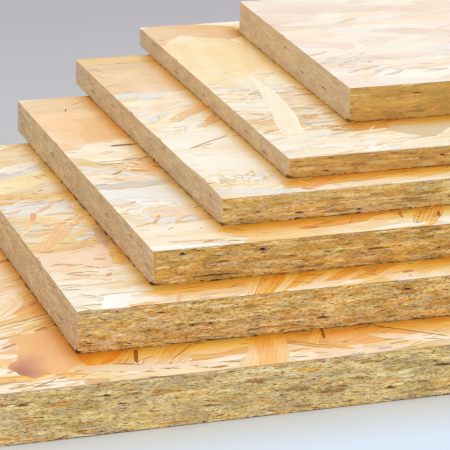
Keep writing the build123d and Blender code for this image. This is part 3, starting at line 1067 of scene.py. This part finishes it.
class Nodes:
    """Short ways to add shader nodes to one material."""

    def __init__(self, name):
        self.material = bpy.data.materials.new(name)
        self.material.use_nodes = True
        self.tree = self.material.node_tree
        self.surface = self.tree.nodes["Principled BSDF"]
        self.place = self.add("ShaderNodeTexCoord").outputs["Object"]

    def put(self, value, socket):
        """Links another node's socket to this one, or gives it a plain value."""
        if isinstance(value, bpy.types.NodeSocket):
            self.tree.links.new(value, socket)
        else:
            socket.default_value = value

    def add(self, kind, inputs=None, **settings):
        """Adds a node; its inputs are sockets or plain values, by name or by number."""
        node = self.tree.nodes.new(kind)
        for key, value in settings.items():
            setattr(node, key, value)
        for key, value in (inputs or {}).items():
            self.put(value, node.inputs[key])
        return node

    def stretched(self, source, scale):
        """Coordinates stretched by a scale along each way."""
        return self.add("ShaderNodeMapping", {"Vector": source, "Scale": scale}).outputs["Vector"]

    def noise(self, vector, scale, detail=4.0, roughness=0.55, distortion=0.0):
        inputs = {"Vector": vector, "Scale": scale, "Detail": detail}
        inputs.update({"Roughness": roughness, "Distortion": distortion})
        return self.add("ShaderNodeTexNoise", inputs).outputs["Fac"]

    def contact_shadow_noise(self):
        """Where the painted contact shadow, a thin dark line under a board's lower edge, comes and goes."""
        return self.noise(self.place, 190.0, 4.0, 0.6)

    def ramp(self, source, *stops):
        """Maps a value to greys: stops are (position, brightness)."""
        node = self.add("ShaderNodeValToRGB", {"Fac": source})
        elements = node.color_ramp.elements
        while len(elements) < len(stops):
            elements.new(0.5)
        for element, (position, grey) in zip(elements, stops):
            element.position = position
            element.color = (grey, grey, grey, 1.0)
        return node.outputs["Color"]

    def mixed(self, kind, first, second, amount=1.0):
        """Mixes two colours; each may be a socket or a plain colour."""
        node = self.add("ShaderNodeMix", {"Factor": amount}, data_type="RGBA", blend_type=kind)
        colours = [socket for socket in node.inputs if socket.type == "RGBA"]
        for socket, value in zip(colours, (first, second)):
            self.put((*value, 1.0) if isinstance(value, tuple) else value, socket)
        return [socket for socket in node.outputs if socket.type == "RGBA"][0]

    def tinted(self, colour, tint, amount):
        """A colour multiplied by a tint, where and as far as the amount says."""
        return self.mixed("MULTIPLY", colour, linear(*tint), amount)

    def math(self, operation, first, second):
        return self.add("ShaderNodeMath", {0: first, 1: second}, operation=operation).outputs["Value"]

    def times(self, first, second):
        return self.math("MULTIPLY", first, second)

    def vectors(self, operation, *values):
        inputs = dict(enumerate(values))
        return self.add("ShaderNodeVectorMath", inputs, operation=operation).outputs["Vector"]

    def part(self, vector, way):
        """One coordinate of a vector."""
        return self.add("ShaderNodeSeparateXYZ", {"Vector": vector}).outputs[way]

    def finish(self, colour, roughness, height, distance_mm, specular=0.5):
        """Gives the material its colour, roughness, fine relief and shine."""
        bump = self.add("ShaderNodeBump", {"Distance": distance_mm * MM, "Height": height})
        self.put(colour, self.surface.inputs["Base Color"])
        self.put(roughness, self.surface.inputs["Roughness"])
        self.put(bump.outputs["Normal"], self.surface.inputs["Normal"])
        self.put(specular, self.surface.inputs["Specular IOR Level"])
        return self.material


class StrandNodes(Nodes):
    """The nodes of a strand material, which read what the strands carry."""

    def __init__(self, name):
        super().__init__(name)
        strand_colour = self.add("ShaderNodeAttribute", attribute_name="tone")
        self.tone = strand_colour.outputs["Color"]
        self.figure = strand_colour.outputs["Alpha"]
        self.rim = self.carried("rim")
        self.grain = self.add("ShaderNodeUVMap", uv_map="grain").outputs["UV"]

    def carried(self, label):
        return self.add("ShaderNodeAttribute", attribute_name=label).outputs["Fac"]

    def grained(self, along, across, *settings):
        """Noise stretched along and across the grain."""
        return self.noise(self.stretched(self.grain, (along, across, 1.0)), 1.0, *settings)

    def rings(self, stretch, scale, distortion, detail, detail_scale):
        """Growth rings: lines along the grain, wandering by the distortion."""
        vector = self.stretched(self.grain, (stretch, 1.0, 1.0))
        inputs = {"Vector": vector, "Scale": scale, "Distortion": distortion}
        inputs.update({"Detail": detail, "Detail Scale": detail_scale})
        settings = {"wave_type": "BANDS", "bands_direction": "Y", "wave_profile": "SIN"}
        return self.add("ShaderNodeTexWave", inputs, **settings).outputs["Fac"]


def face_material():
    """Pressed strands: each strand's own colour, with grain lines that run along it, and painted shade by the
    board above and on the strands' steps.
    """
    nodes = StrandNodes("pressed_strands")
    figure = nodes.figure
    ahead = nodes.carried("ahead")
    aside = nodes.carried("aside")

    broad = nodes.grained(0.12, 1.4, 3.0, 0.5, 0.6)
    rings = nodes.rings(0.05, 1.7, 7.0, 2.0, 0.7)
    faint = nodes.grained(0.25, 1.1, 2.0)
    threads = nodes.grained(0.9, 15.0, 3.0, 0.65)
    splits = nodes.grained(0.6, 9.0, 2.0, 0.5, 0.4)
    patches = nodes.noise(nodes.place, 24.0, 3.0, 0.55, 0.5)
    vivid = nodes.math("ADD", nodes.times(figure, 0.85), 0.15)

    # Broad golden bands, thin growth rings, fine threads and open splits
    bands = nodes.times(nodes.ramp(broad, (0.44, 0.0), (0.64, 0.8)), vivid)
    colour = nodes.tinted(nodes.tone, (250, 218, 156), bands)
    lines = nodes.times(nodes.ramp(rings, (0.02, 1.0), (0.22, 0.5), (0.42, 0.0)), figure)
    lines = nodes.times(lines, nodes.ramp(faint, (0.40, 0.1), (0.60, 1.0)))
    colour = nodes.tinted(colour, (230, 188, 136), lines)
    fine = nodes.ramp(threads, (0.36, 0.74), (0.50, 0.98), (0.62, 1.06))
    colour = nodes.mixed("MULTIPLY", colour, fine, vivid)
    opened = nodes.times(nodes.ramp(splits, (0.63, 0.0), (0.70, 1.0)), figure)
    colour = nodes.tinted(colour, (190, 136, 88), opened)

    # Warmer and paler patches across the strands
    sunny = nodes.times(nodes.ramp(patches, (0.48, 0.0), (0.66, 0.8)), vivid)
    colour = nodes.tinted(colour, (252, 226, 176), sunny)
    brightness = nodes.add("ShaderNodeRGBToBW", {"Color": nodes.tone}).outputs["Val"]
    paler = nodes.ramp(brightness, (0.60, 0.0), (0.76, 1.0))
    paler = nodes.times(paler, nodes.ramp(patches, (0.34, 0.5), (0.47, 0.0)))
    colour = nodes.mixed("MIX", colour, linear(252, 245, 230), paler)

    # Painted shade with warm reflected light: amber in front of the board above, and brown beside it
    ragged = nodes.math("ADD", ahead, nodes.times(nodes.math("SUBTRACT", patches, 0.5), 12.0))
    reach = nodes.times(ragged, 1 / PAINTED_AMBER_SHADE_REACH_MM)
    beside = nodes.times(aside, 1 / CORNER_FADE_MM)
    painted_amber_shade = nodes.ramp(reach, (0.28, 1.0), (0.50, 0.70), (0.72, 0.26), (1.0, 0.0))
    painted_amber_shade = nodes.times(painted_amber_shade, nodes.ramp(beside, (0.0, 1.0), (1.0, 0.0)))
    colour = nodes.tinted(colour, (238, 200, 98), painted_amber_shade)
    painted_brown_shade = nodes.math("POWER", PAINTED_BROWN_SHADE_KEPT, nodes.math("MAXIMUM", aside, 0.0))
    before = nodes.times(ahead, 1 / CORNER_FADE_MM)
    painted_brown_shade = nodes.times(painted_brown_shade, nodes.ramp(before, (0.0, 0.8), (1.0, 0.0)))
    colour = nodes.tinted(colour, (204, 184, 148), painted_brown_shade)

    # Painted shade: dark rims on the sides of the steps between strands, and the dark contact shadow under
    # the board above
    colour = nodes.tinted(colour, (158, 106, 62), nodes.times(nodes.rim, vivid))
    # Painted contact shadow: a thin dark line next to the board above, wavering with noise and stronger on
    # the lower boards
    distance = nodes.math("MAXIMUM", ahead, aside)
    waver = nodes.times(nodes.math("SUBTRACT", nodes.contact_shadow_noise(), 0.42), 6.0)
    hidden = nodes.math("SUBTRACT", waver, distance)
    height = nodes.times(nodes.part(nodes.place, "Z"), 10.0)
    contact_shadow = nodes.ramp(height, (0.40, 0.85), (0.75, 0.30))
    contact_shadow = nodes.times(contact_shadow, nodes.ramp(hidden, (0.0, 0.0), (0.6, 1.0)))
    colour = nodes.tinted(colour, (128, 76, 38), contact_shadow)

    roughness = nodes.ramp(broad, (0.3, 0.66), (0.7, 0.50))
    relief = nodes.math("SUBTRACT", threads, nodes.times(splits, 0.6))
    relief = nodes.math("ADD", relief, nodes.times(rings, 0.3))
    return nodes.finish(colour, roughness, relief, 0.06, 0.3)


def edge_material():
    """Strands sawn along their length: fine wavy streaks, flecks and small dark gaps."""
    nodes = StrandNodes("sawn_edge")
    figure = nodes.figure

    streaks = nodes.grained(3.2, 17.0, 4.0, 0.64, 0.7)
    flecks = nodes.grained(3.0, 9.0, 2.0, 0.6)
    gaps = nodes.grained(2.6, 13.0, 2.0, 0.55, 0.3)
    grit = nodes.grained(5.5, 22.0, 2.0, 0.6)
    clouds = nodes.noise(nodes.stretched(nodes.place, (55.0, 55.0, 220.0)), 1.0, 3.0, 0.55)

    shade = nodes.ramp(streaks, (0.34, 0.72), (0.45, 0.99), (0.55, 1.11), (0.68, 1.19))
    colour = nodes.mixed("MULTIPLY", nodes.tone, shade, figure)
    specks = nodes.times(nodes.ramp(grit, (0.36, 1.0), (0.48, 0.0)), figure)
    colour = nodes.tinted(colour, (204, 168, 116), specks)
    colour = nodes.tinted(colour, (236, 188, 108), nodes.ramp(flecks, (0.60, 0.0), (0.68, 0.7)))
    colour = nodes.tinted(colour, (228, 228, 222), nodes.ramp(clouds, (0.46, 0.0), (0.62, 0.9)))
    openings = nodes.times(nodes.ramp(gaps, (0.62, 0.0), (0.69, 1.0)), figure)
    colour = nodes.tinted(colour, (126, 84, 52), openings)
    # Painted shade on the sides of the steps between slivers
    colour = nodes.tinted(colour, (178, 144, 104), nodes.times(nodes.rim, figure))

    roughness = nodes.ramp(streaks, (0.2, 0.90), (0.8, 0.72))
    relief = nodes.math("SUBTRACT", streaks, nodes.times(gaps, 0.8))
    return nodes.finish(colour, roughness, relief, 0.15, 0.1)


def end_material():
    """Strands sawn across: smooth, finely porous wood."""
    nodes = StrandNodes("sawn_end")
    figure = nodes.figure

    streaks = nodes.grained(6.0, 11.0, 4.0, 0.6)
    pores = nodes.grained(14.0, 18.0, 1.0)
    clouds = nodes.noise(nodes.stretched(nodes.place, (60.0, 60.0, 160.0)), 1.0, 3.0, 0.55)

    shade = nodes.ramp(streaks, (0.36, 0.80), (0.5, 0.98), (0.64, 1.07))
    colour = nodes.mixed("MULTIPLY", nodes.tone, shade, figure)
    colour = nodes.tinted(colour, (246, 240, 240), nodes.ramp(clouds, (0.42, 0.0), (0.60, 1.0)))
    openings = nodes.times(nodes.ramp(pores, (0.61, 0.0), (0.68, 0.9)), figure)
    colour = nodes.tinted(colour, (140, 104, 82), openings)
    # Painted shade, faint, on the sides of the steps between slivers
    colour = nodes.tinted(colour, (214, 200, 182), nodes.times(nodes.rim, figure))

    roughness = nodes.ramp(streaks, (0.2, 0.88), (0.8, 0.76))
    relief = nodes.math("SUBTRACT", streaks, nodes.times(pores, 0.8))
    return nodes.finish(colour, roughness, relief, 0.08, 0.12)


def core_material(board, figure):
    """The wood inside a board, with painted shade that darkens it the deeper it lies in a gap, slit or chip.
    """
    nodes = Nodes(board.name + "_core")
    layers = nodes.noise(nodes.stretched(nodes.place, (90.0, 90.0, 1400.0)), 1.0, 5.0, 0.65, 0.4)
    patches = nodes.noise(nodes.place, 160.0, 3.0)
    shade = nodes.ramp(layers, (0.34, 0.66), (0.48, 0.92), (0.66, 1.06))
    colour = nodes.mixed("MULTIPLY", linear(218, 184, 136), shade)
    colour = nodes.mixed("MULTIPLY", colour, nodes.ramp(patches, (0.3, 0.9), (0.7, 1.0)))
    # Painted shade: darker the deeper a point lies in a gap, slit or chip
    depth = nodes.times(board.depth_of(nodes), 1 / (CORE_SHADE_DEPTH_MM * MM))
    colour = nodes.tinted(colour, (104, 62, 34), nodes.ramp(depth, (0.26, 0.0), (0.58, 0.5), (1.0, 1.0)))

    # Painted contact shadow: a dark line along the worn lower edge
    height = nodes.math("SUBTRACT", nodes.part(nodes.place, "Z"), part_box(board.name)[0][2])
    height = nodes.times(height, 1 / (2 * LOWER_ARRIS_MM * MM))
    contact_shadow = nodes.times(nodes.ramp(nodes.contact_shadow_noise(), (0.34, 0.3), (0.44, 1.0)), 0.9 * figure)
    contact_shadow = nodes.times(nodes.ramp(height, (0.4, 1.0), (0.6, 0.0)), contact_shadow)
    colour = nodes.tinted(colour, (98, 54, 30), contact_shadow)
    return nodes.finish(colour, nodes.ramp(patches, (0.3, 0.9), (0.7, 0.7)), layers, 0.2)


# The boards

face_wood = face_material()
edge_wood = edge_material()
end_wood = end_material()

boards = [Board(name) for name in BOARDS]

for number, board in enumerate(boards):
    name = board.name
    chance = random.Random(SEED + number)
    figures, figure, crack_count = FIGURES[name]
    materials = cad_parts[name].data.materials
    materials.clear()
    materials.append(core_material(board, figure))

    above = boards[number + 1].footprint(board.top) if number + 1 < len(boards) else None
    below = boards[number - 1].footprint(board.bottom) if number > 0 else None

    strands = face_strands(chance, FACE_TONES[name], figures, board.top, FACE_LAYERS)
    strands += seen_strands(chance, name)
    strands += clusters(random.Random(CLUSTER_SEED + number), name)
    strands += cracks(random.Random(CRACK_SEED + number), crack_count, board.top, above)
    strands += seen_knots(chance, name)
    patches = seen_patches(chance, name)
    strands += patches
    if name == STAIN_BOARD:
        strands += stain(patches[0])
    faces = Skin()
    faces.lay(board.top, strands, above)
    layers = UNDERSIDE_LAYERS if below else FLOOR_LAYERS
    lift = STRAND_LIFT_MM if below else UNDERSIDE_LIFT_MM
    strands = face_strands(chance, FACE_TONES[name], figures, board.bottom, layers, lift)
    faces.lay(board.bottom, strands, below)
    faces.piece(name + "_faces", face_wood)

    edges = ((board.front, FRONT_SLIVERS_MM), (board.back, BACK_SLIVERS_MM))
    ends = ((board.left, LEFT_SLIVERS_MM), (board.right, RIGHT_SLIVERS_MM))
    for label, wood, sides, tones, gap_lengths, lift in (
        ("_edges", edge_wood, edges, EDGE_TONES[name], EDGE_GAPS_MM, EDGE_LIFT_MM),
        ("_ends", end_wood, ends, END_TONES, END_GAPS_MM, END_LIFT_MM),
    ):
        sawn = Skin()
        for surface, lengths in sides:
            sawn.lay(surface, edge_strands(chance, surface, tones, figure, lengths, gap_lengths, lift))
            fray(chance, sawn, surface, tones, figure, lift)
        sawn.piece(name + label, wood)


# Floor, light and camera

# The floor's colour at the front, and where each further one begins and is reached, in metres: first a greyer
# band of painted shade just in front of the stack, then the darker back
FLOOR_REACH = 6.0
FLOOR_COLOUR = (216, 229, 246)
FLOOR_BANDS = ((-0.195, -0.165, (208, 212, 214)), (-0.10, 0.47, (180, 177, 183)))
FLOOR_ROUGHNESS = 0.8
FLOOR_SPECULAR = 0.2

STUDIO_COLOUR = (0.98, 0.99, 1.0, 1.0)
STUDIO_STRENGTH = 0.62
SUN_COLOUR = (1.0, 0.98, 0.95)
SUN_STRENGTH = 1.6
SUN_SPREAD = math.radians(70)
SUN_FROM = (-0.28, -0.30, 1.0)

CAMERA_NEAREST = 0.05
CAMERA_FARTHEST = 30


def floor():
    """A wide pale floor, cooler and darker towards the back."""
    side = FLOOR_REACH
    mesh = bpy.data.meshes.new("floor")
    corners = [(-side, -side, 0), (side, -side, 0), (side, side, 0), (-side, side, 0)]
    mesh.from_pydata(corners, [], [(0, 1, 2, 3)])
    nodes = Nodes("floor_paint")
    back = nodes.part(nodes.place, "Y")
    colour = linear(*FLOOR_COLOUR)
    # The first band is painted shade just in front of the stack
    for start, end, tone in FLOOR_BANDS:
        inputs = {"Value": back, "From Min": start, "From Max": end}
        reach = nodes.add("ShaderNodeMapRange", inputs).outputs["Result"]
        colour = nodes.mixed("MIX", colour, linear(*tone), reach)
    nodes.put(colour, nodes.surface.inputs["Base Color"])
    nodes.put(FLOOR_ROUGHNESS, nodes.surface.inputs["Roughness"])
    nodes.put(FLOOR_SPECULAR, nodes.surface.inputs["Specular IOR Level"])
    mesh.materials.append(nodes.material)
    obj = added("floor", mesh)


def lights():
    """Even light from all round, and a very soft sun from above the front left."""
    world = bpy.data.worlds.new("studio")
    bpy.context.scene.world = world
    world.use_nodes = True
    background = world.node_tree.nodes["Background"]
    background.inputs["Color"].default_value = STUDIO_COLOUR
    background.inputs["Strength"].default_value = STUDIO_STRENGTH
    sun = bpy.data.lights.new("soft_sun", "SUN")
    sun.energy = SUN_STRENGTH
    sun.angle = SUN_SPREAD
    sun.color = SUN_COLOUR
    obj = added("soft_sun", sun)
    obj.rotation_euler = Vector(SUN_FROM).to_track_quat("Z", "Y").to_euler()


def camera():
    """The photograph's camera, set from the second board's front left lower corner."""
    corner = boards[1].front.solid(0, 0, 0)
    data = bpy.data.cameras.new("camera")
    data.sensor_width = SENSOR_WIDTH_MM
    data.lens = FOCAL_LENGTH_PX / IMAGE_WIDTH_PX * SENSOR_WIDTH_MM
    data.clip_start = CAMERA_NEAREST
    data.clip_end = CAMERA_FARTHEST
    ahead = Vector((
        math.sin(CAMERA_BEARING) * math.cos(CAMERA_PITCH),
        math.cos(CAMERA_BEARING) * math.cos(CAMERA_PITCH),
        -math.sin(CAMERA_PITCH),
    ))
    level_right = Vector((math.cos(CAMERA_BEARING), -math.sin(CAMERA_BEARING), 0))
    level_down = ahead.cross(level_right)
    right = level_right * math.cos(CAMERA_ROLL) + level_down * math.sin(CAMERA_ROLL)
    down = level_down * math.cos(CAMERA_ROLL) - level_right * math.sin(CAMERA_ROLL)
    obj = added("camera", data)
    place = corner + Vector((-CAMERA_LEFT, -CAMERA_FORWARD, CAMERA_ABOVE))
    turn = Matrix((right, -down, -ahead)).transposed().to_4x4()
    obj.matrix_world = Matrix.Translation(place) @ turn
    bpy.context.scene.camera = obj


floor()
lights()
camera()
bpy.context.scene.view_settings.view_transform = "Standard"
